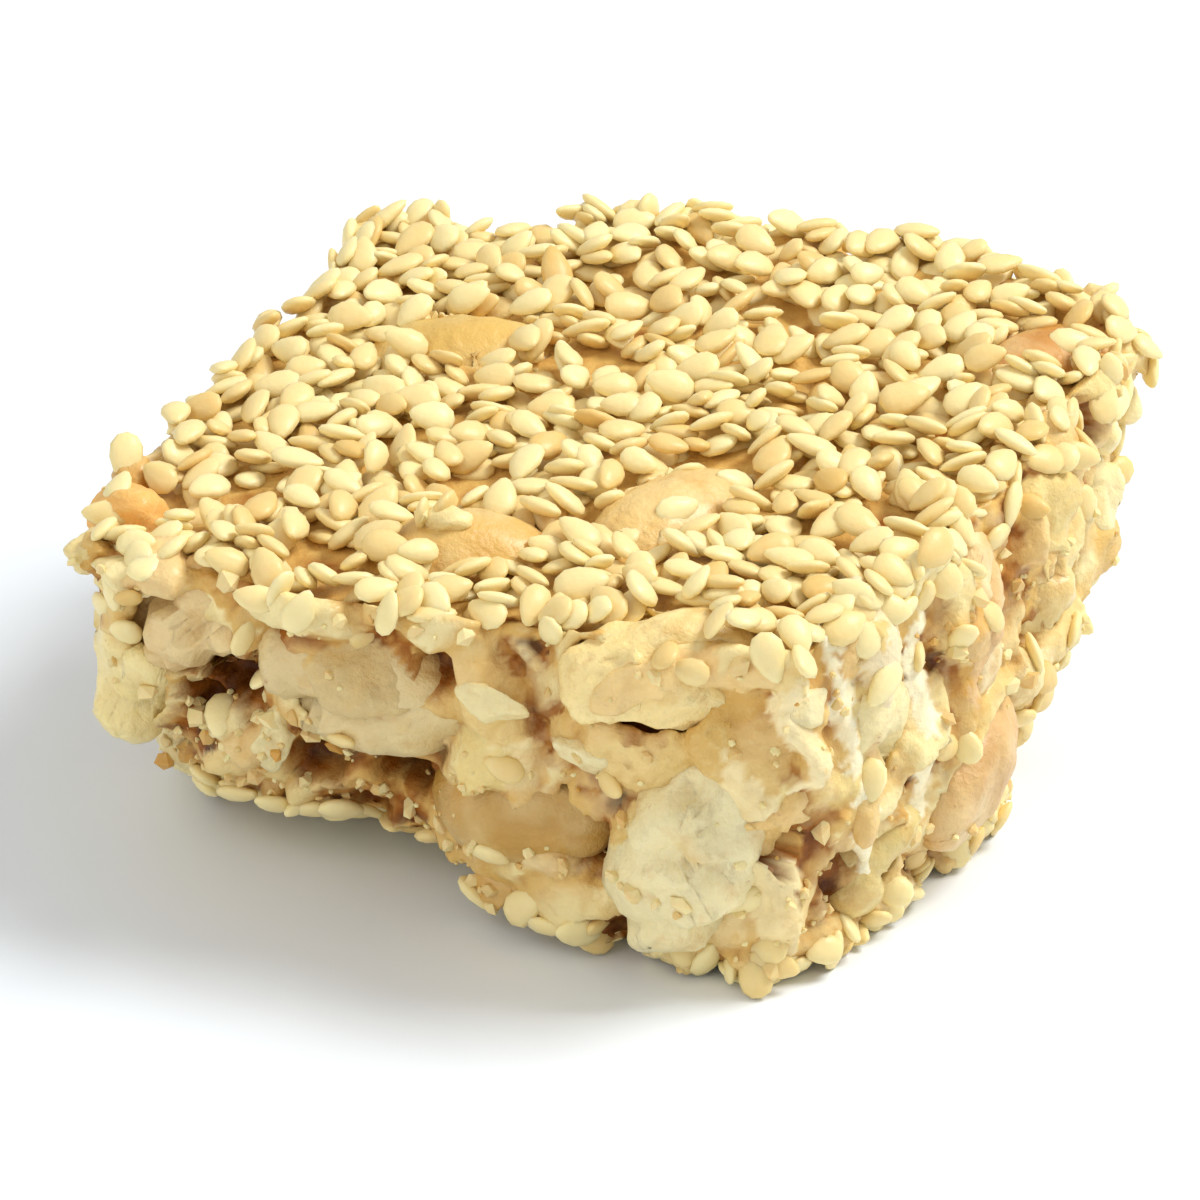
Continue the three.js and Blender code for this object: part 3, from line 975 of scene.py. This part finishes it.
class SeedBed:
    """The heights of a bed seen from above, or from below, on which seeds settle one after another."""

    PRINT = np.array(  # places under a seed, as shares of its half length and half width
        [(0, 0)]
        + [
            (ring * math.cos(turn), ring * math.sin(turn))
            for ring, steps in ((0.5, 6), (0.92, 12))
            for turn in np.linspace(0, 2 * math.pi, steps, endpoint=False)
        ]
    )
    DOME = np.sqrt(1 - (PRINT**2).sum(1))  # how far the seed bulges over each place
    FIT = np.linalg.pinv(np.column_stack([PRINT, np.ones(len(PRINT))]))  # heights to slopes
    CELL = 0.25 * MM
    MARGIN = 2 * MM
    STEEPEST = 0.25  # a normal's least share of upright on a bed
    THICKEST = 2.6 * MM  # of what a bed holds under its limit
    ON_NUT = 0.6 * MM  # how much higher seeds may lie on a peanut half
    LEAN = 0.8  # the most that a seed leans, as its rise over its half length
    TRIES = 9  # of places for a seed
    MOST_OFF, MOST_BARE = 0.15, 0.1  # of a seed may lie off the bed, and on a bare peanut half

    def __init__(self, tree, crust, nuts, settings, facing_up, pool=0):
        self.way = 1 if facing_up else -1
        self.half = np.array((settings.length, settings.width, settings.thickness)) / 2
        self.sink = settings.sink
        self.low = BOX_LOW[:2] - self.MARGIN
        shape = np.ceil((SPAN[:2] + 2 * self.MARGIN) / self.CELL).astype(int)
        self.heights, self.limits = np.full(shape, np.nan), np.full(shape, np.nan)
        self.nuts = np.zeros(shape, dtype=bool)
        bare_nuts = []
        for name, half in HALVES.items():
            if facing_up and half.bare:
                middle = points_of(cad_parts["peanut_" + name].data).mean(0)
                bare_nuts.append((Vector(middle[:2]), half.bare * MM))
        far = (BOX_HIGH if facing_up else BOX_LOW)[2] + 5 * MM * self.way
        ray = Vector((0, 0, -self.way))
        for i, j in np.ndindex(*shape):
            start = Vector((*(self.low + (np.array((i, j)) + 0.5) * self.CELL), far))
            point, normal, _, _ = tree.ray_cast(start, ray)
            limit = crust.ray_cast(start, ray)[0]
            if point is None or limit is None or normal.z * self.way < self.STEEPEST:
                continue
            on_nut = nuts.find_nearest(point)[3] < 0.1 * MM
            if on_nut and any((point.xy - middle).length < bare for middle, bare in bare_nuts):
                self.nuts[i, j] = True
                continue
            if on_nut:
                limit.z += self.ON_NUT * self.way
            if (limit.z - point.z) * self.way < self.THICKEST:
                self.heights[i, j] = point.z * self.way - float(pooled(np.array([point]), pool)[0])
                self.limits[i, j] = limit.z * self.way

    def settle(self, x, y, turn, scale, tip):
        """Where a dropped seed rests, tipped from the bed's slope: its height, its slopes and the bed's."""
        half = self.half * scale
        along = np.array((math.cos(turn), math.sin(turn)))
        across = np.array((-along[1], along[0]))
        prints = np.outer(self.PRINT[:, 0] * half[0], along) + np.outer(self.PRINT[:, 1] * half[1], across)
        cells = ((np.array((x, y)) + prints - self.low) / self.CELL).astype(int)
        if (cells < 0).any() or (cells >= self.heights.shape).any():
            return None
        found = self.heights[cells[:, 0], cells[:, 1]]
        missing = np.isnan(found)
        bare = self.nuts[cells[:, 0], cells[:, 1]].mean()
        if missing[0] or missing.mean() > self.MOST_OFF or bare > self.MOST_BARE:
            return None
        found = np.where(missing, np.nanmin(found) - 0.2 * MM, found)
        slope = (self.FIT @ found)[:2] + tip * half[:2]
        slope = np.clip(slope, -self.LEAN * half[:2], self.LEAN * half[:2])
        rest = (found - self.PRINT @ slope + half[2] * self.DOME).max() - self.sink
        return rest, slope[0] * along / half[0] + slope[1] * across / half[1], found.mean()

    def bury(self, x, y, turn, scale, rest, slopes):
        """Adds a settled seed's upper side to the heights."""
        half = self.half * scale
        reach = int(half[0] / self.CELL) + 2
        here = ((np.array((x, y)) - self.low) / self.CELL).astype(int)
        first, last = np.clip(here - reach, 0, None), here + reach + 1
        window = self.heights[first[0] : last[0], first[1] : last[1]]
        grid = np.stack(np.meshgrid(*(np.arange(n) for n in window.shape), indexing="ij"), -1)
        offset = (first + grid + 0.5) * self.CELL + self.low - (x, y)
        u = (offset[..., 0] * math.cos(turn) + offset[..., 1] * math.sin(turn)) / half[0]
        v = (offset[..., 1] * math.cos(turn) - offset[..., 0] * math.sin(turn)) / half[1]
        inside = 1 - u * u - v * v
        top = rest + offset @ slopes + half[2] * np.sqrt(np.clip(inside, 0, None))
        window[:] = np.where(inside > 0, np.fmax(window, top), window)


def drop_seeds(bed, count, dice, avoid, proud, tip):
    """Drops seeds where the bed is lowest, and returns each one's middle, turn and scale."""
    rows = []
    spots = np.argwhere(~np.isnan(bed.heights))
    mirror = Matrix.Diagonal((1, 1, bed.way))
    for _ in range(count):
        best = None
        for _ in range(bed.TRIES):
            spot = spots[dice.integers(len(spots))]
            x, y = bed.low + (spot + dice.random(2)) * bed.CELL
            if any(math.hypot(x - ax, y - ay) < radius for ax, ay, radius in avoid):
                continue
            turn, scale = dice.uniform(0, 2 * math.pi), dice.uniform(0.84, 1.08)
            settled = bed.settle(x, y, turn, scale, dice.normal(0, tip, 2))
            if settled is None or settled[0] > bed.limits[tuple(spot)] + proud:
                continue
            depth = settled[2] - bed.limits[tuple(spot)]
            if best is None or depth < best[0]:
                best = (depth, x, y, turn, scale, *settled)
        if best is None:
            continue
        _, x, y, turn, scale, rest, slopes, _ = best
        bed.bury(x, y, turn, scale, rest, slopes)
        normal = Vector((-slopes[0], -slopes[1], 1)).normalized()
        along = Vector((math.cos(turn), math.sin(turn), 0))
        along = (along - normal * along.dot(normal)).normalized()
        lie = Matrix((along, normal.cross(along), normal)).transposed()
        rows.append((Vector((x, y, rest * bed.way)), mirror @ lie @ mirror, scale))
    return rows


def scatter_tree(name, sizes, shape):
    """Geometry Nodes that put a shape on each point, turned and sized as the point's attributes say."""
    tree = bpy.data.node_groups.new(name, "GeometryNodeTree")
    face = tree.interface
    face.new_socket("Geometry", in_out="INPUT", socket_type="NodeSocketGeometry")
    for size in sizes:
        face.new_socket(size, in_out="INPUT", socket_type="NodeSocketFloat")
    face.new_socket("Material", in_out="INPUT", socket_type="NodeSocketMaterial")
    face.new_socket("Geometry", in_out="OUTPUT", socket_type="NodeSocketGeometry")
    graph = Graph(tree)
    given = graph.node("NodeGroupInput")

    inputs = {"Points": given["Geometry"], "Instance": shape(graph, given)}
    for key, name in (("Rotation", "turn"), ("Scale", "stretch")):
        held = graph.node("GeometryNodeInputNamedAttribute", {"Name": name}, data_type="FLOAT_VECTOR")
        inputs[key] = held["Attribute"]
    placed = graph.node("GeometryNodeInstanceOnPoints", inputs)["Instances"]
    real = graph.node("GeometryNodeRealizeInstances", {"Geometry": placed})["Geometry"]
    inputs = {"Geometry": real, "Material": given["Material"]}
    finished = graph.node("GeometryNodeSetMaterial", inputs)["Geometry"]
    graph.node("NodeGroupOutput", {"Geometry": finished})
    return tree


def seed_shape(graph, given):
    """A flat teardrop with its tip along X."""
    ball = graph.node("GeometryNodeMeshUVSphere", {"Segments": 10, "Rings": 6, "Radius": 1.0})["Mesh"]
    place = graph.node("ShaderNodeSeparateXYZ", {0: graph.node("GeometryNodeInputPosition")["Position"]})
    along = place["Z"]
    narrow = 1.0 - along * 0.3 - along * along * 0.1
    moved = {
        "X": along * given["Length"] * 0.5,
        "Y": place["X"] * narrow * given["Width"] * 0.54,
        "Z": place["Y"] * (1.0 - along * 0.12) * given["Thickness"] * 0.5,
    }
    inputs = {"Geometry": ball, "Position": graph.node("ShaderNodeCombineXYZ", moved)["Vector"]}
    return graph.node("GeometryNodeSetPosition", inputs)["Geometry"]


def scatter(name, rows, tree, inputs, dice):
    """Makes one joined piece with a copy of the tree's shape at each (middle, turn, scale) row."""
    mesh = bpy.data.meshes.new(name)
    mesh.from_pydata([row[0] for row in rows], [], [])
    stretch = np.array([row[2] for row in rows])[:, None] * dice.uniform(0.92, 1.08, (len(rows), 3))
    set_values(mesh, "turn", "FLOAT_VECTOR", [row[1].to_euler() for row in rows])
    set_values(mesh, "stretch", "FLOAT_VECTOR", stretch)
    set_values(mesh, "roast", "FLOAT", dice.beta(1.1, 2.6, len(rows)))
    piece = new_object(name, mesh)
    modifier = piece.modifiers.new("scatter", "NODES")
    modifier.node_group = tree
    for item in tree.interface.items_tree:
        if item.in_out == "INPUT" and item.name in inputs:
            modifier[item.identifier] = inputs[item.name]
    return baked(piece)


def hold(nuts, pits, point, on_nut):
    """How well a loose thing holds at a point: not at all in a pit, and less well on a peanut half."""
    grazed = nuts.find_nearest(point)[3] < GRAZED
    return clear_of_pits(point, pits) * (on_nut if grazed else 1)


class BRITTLE_OT_seeds(Operator):
    """Presses sesame seeds into the top and the underside and sticks them to the cut sides"""

    bl_idname = "brittle.seeds"
    bl_label = "Press Sesame Seeds"

    def execute(self, context):
        settings = context.scene.brittle.seeds
        dice = np.random.default_rng(SEED + 3)
        sizes = {"Length": settings.length, "Width": settings.width, "Thickness": settings.thickness}
        tree = scatter_tree("sesame_seeds", sizes, seed_shape)
        inputs = {**sizes, "Material": seed_surface(settings)}
        body, nuts = tree_of_pieces("syrup_core", "nut_chips", *ROASTED), tree_of_pieces(*ROASTED)
        pieces = (
            ("sesame_seeds_top", self.on_top, ["sesame_top"]),
            ("sesame_seeds_bottom", self.underneath, ["sesame_bottom"]),
            ("sesame_seeds_sides", self.on_sides, []),
        )
        for name, places, nodes in pieces:
            seeds = scatter(name, places(settings, body, nuts, dice), tree, inputs, dice)
            finish_piece(seeds, "sesame", *nodes)
        return {"FINISHED"}

    @staticmethod
    def on_top(settings, body, nuts, dice):
        pool = bpy.context.scene.brittle.core.pool
        bed = SeedBed(body, tree_of_solids("sesame_top"), nuts, settings, facing_up=True, pool=pool)
        avoid = [
            (*across_top(along, back), radius * MM + 0.45 * settings.length)
            for along, back, radius in BARE_SPOTS
        ]
        avoid += [(*across_top(along, back), 0.6 * long * MM) for along, back, long, _, _ in TOP_CHIPS]
        return drop_seeds(bed, settings.top, dice, avoid, proud=0.2 * MM, tip=0.4)

    @staticmethod
    def underneath(settings, body, nuts, dice):
        bed = SeedBed(body, tree_of_solids("sesame_bottom"), nuts, settings, facing_up=False)
        return drop_seeds(bed, settings.bottom, dice, [], proud=-0.5 * settings.thickness, tip=0.15)

    @staticmethod
    def on_sides(settings, body, nuts, dice):
        pits = pit_mouths(body)

        def liking(side, along, up, place):
            patch = noise.noise(place[0] / (7 * MM))
            rim = max(smoothstep(0.78, 0.92, up), smoothstep(0.14, 0.04, up))
            return hold(nuts, pits, place[0], 0.2) * (0.03 + 0.95 * rim + 0.3 * max(0, patch))

        rows = []
        for point, normal in side_places(body, settings.sides, 0.62 * settings.width, dice, liking, 60):
            middle = point + normal * settings.thickness * dice.uniform(-0.2, 0.25)
            middle.z = max(middle.z, BOX_LOW[2] + 0.6 * settings.width)
            rows.append((middle, facing(normal, dice, 0.55), dice.uniform(0.82, 1.08)))
        return rows


# --- Crumbs ---


def crumb_shape(graph, given):
    """A rough little lump."""
    inputs = {"Radius": given["Size"] * 0.5, "Subdivisions": 1}
    ball = graph.node("GeometryNodeMeshIcoSphere", inputs)["Mesh"]
    inputs = {"Min": (-1, -1, -1), "Max": (1, 1, 1), "Seed": SEED}
    jitter = graph.node("FunctionNodeRandomValue", inputs, data_type="FLOAT_VECTOR")["Value"]
    inputs = {0: jitter, "Scale": given["Size"] * 0.2}
    shift = graph.node("ShaderNodeVectorMath", inputs, operation="SCALE")["Vector"]
    return graph.node("GeometryNodeSetPosition", {"Geometry": ball, "Offset": shift})["Geometry"]


def crumb_surface():
    """Dry crumbs of nut and syrup."""

    def build(graph, at):
        grains = graph.noise(at, 2400, 3)
        depth = (graph.stored("roast") * 1.2 + grains * 0.3 - 0.15).clamped()
        return {"Base Color": graph.blend(depth, CREAM, GOLD), "Roughness": 0.5 + grains * 0.2}

    return surface("crumb", build, {"Subsurface Weight": 0.2, "Subsurface Scale": 1 * MM})


class BRITTLE_OT_crumbs(Operator):
    """Dusts the cut sides with crumbs of nut and syrup"""

    bl_idname = "brittle.crumbs"
    bl_label = "Dust Crumbs"

    def execute(self, context):
        settings = context.scene.brittle.crumbs
        dice = np.random.default_rng(SEED + 4)
        body, nuts = tree_of_pieces("syrup_core", "nut_chips", *ROASTED), tree_of_pieces(*ROASTED)
        pits = pit_mouths(body)

        def liking(side, along, up, place):
            patch = noise.noise(place[0] / (5 * MM) + Vector((7, 0, 0)))
            shaggy = 0.4 * (up < 0.3) + 0.8 * (side == "front" and up < 0.5 and along < 0.1)
            return hold(nuts, pits, place[0], 0.25) * (0.12 + 1.0 * max(0, patch) + shaggy)

        rows = []
        for point, normal in side_places(body, settings.count, 0.25 * settings.size, dice, liking, 8):
            turn = facing(normal, dice, 3)
            scale = min(dice.lognormal(0, 0.5), 3)
            middle = point + normal * settings.size * 0.05 * scale
            middle.z = max(middle.z, BOX_LOW[2] + settings.size * scale)
            rows.append((middle, turn, scale))
        tree = scatter_tree("crumbs", ("Size",), crumb_shape)
        inputs = {"Size": settings.size, "Material": crumb_surface()}
        crumbs = scatter("crumbs", rows, tree, inputs, dice)
        finish_piece(crumbs, "peanut", crisp=20)
        return {"FINISHED"}


# --- Stage ---


def area_light(name, place, width, power, colour):
    """A square light aimed at the middle of the slab."""
    light = bpy.data.lights.new(name, "AREA")
    light.size = width
    light.energy = power
    light.color = colour
    lamp = bpy.data.objects.new(name, light)
    lamp.location = place
    lamp.rotation_euler = (Vector(MIDDLE) - Vector(place)).to_track_quat("-Z", "Y").to_euler()
    bpy.context.scene.collection.objects.link(lamp)


class BRITTLE_OT_stage(Operator):
    """Adds the table, the soft studio light and the camera"""

    bl_idname = "brittle.stage"
    bl_label = "Set Stage"

    def execute(self, context):
        settings = context.scene.brittle.stage
        scene = context.scene
        reach, low = 1.5, BOX_LOW[2]
        corners = [(-reach, -reach, low), (reach, -reach, low), (reach, reach, low), (-reach, reach, low)]
        mesh = bpy.data.meshes.new("table")
        mesh.from_pydata(corners, [], [(0, 1, 2, 3)])
        new_object("table", mesh, floor_surface(settings))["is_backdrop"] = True

        scene.world = bpy.data.worlds.new("studio")
        scene.world.use_nodes = True
        background = scene.world.node_tree.nodes["Background"]
        background.inputs["Color"].default_value = (1, 1, 1, 1)
        background.inputs["Strength"].default_value = DAYLIGHT
        for light in LIGHTS:
            area_light(*light)

        camera = bpy.data.cameras.new("camera")
        camera.lens = camera.sensor_width * settings.distance / settings.frame_width
        camera.clip_start = 0.01
        eye = bpy.data.objects.new("camera", camera)
        azimuth, elevation = settings.azimuth, settings.elevation
        flat = math.cos(elevation)
        back = Vector((math.sin(azimuth) * flat, -math.cos(azimuth) * flat, math.sin(elevation)))
        foot = (MIDDLE[0], MIDDLE[1], 0)
        eye.location = Vector(foot) + Vector(AIM) * MM + back * settings.distance
        eye.rotation_euler = back.to_track_quat("Z", "Y").to_euler()
        scene.collection.objects.link(eye)
        scene.camera = eye
        scene.view_settings.view_transform = "Standard"
        return {"FINISHED"}


# --- Add-on ---


class BRITTLE_PT_panel(Panel):
    """Lists the steps that dress the slab"""

    bl_idname = "BRITTLE_PT_panel"
    bl_label = "Sesame and Peanut Brittle"
    bl_space_type = "VIEW_3D"
    bl_region_type = "UI"
    bl_category = "Brittle"

    def draw(self, context):
        for step in STEPS:
            self.layout.operator(step.bl_idname)


STEPS = (
    BRITTLE_OT_kernels,
    BRITTLE_OT_core,
    BRITTLE_OT_chips,
    BRITTLE_OT_seeds,
    BRITTLE_OT_crumbs,
    BRITTLE_OT_stage,
)
GROUPS = (CoreSettings, PeanutSettings, SeedSettings, CrumbSettings, StageSettings, BrittleSettings)
CLASSES = (*GROUPS, *STEPS, BRITTLE_PT_panel)


def register():
    for item in CLASSES:
        bpy.utils.register_class(item)
    bpy.types.Scene.brittle = PointerProperty(type=BrittleSettings)


def unregister():
    del bpy.types.Scene.brittle
    for item in reversed(CLASSES):
        bpy.utils.unregister_class(item)


def main():
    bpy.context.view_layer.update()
    register()
    bpy.ops.brittle.kernels()
    bpy.ops.brittle.core()
    bpy.ops.brittle.chips()
    bpy.ops.brittle.seeds()
    bpy.ops.brittle.crumbs()
    bpy.ops.brittle.stage()


if __name__ == "__main__":
    main()
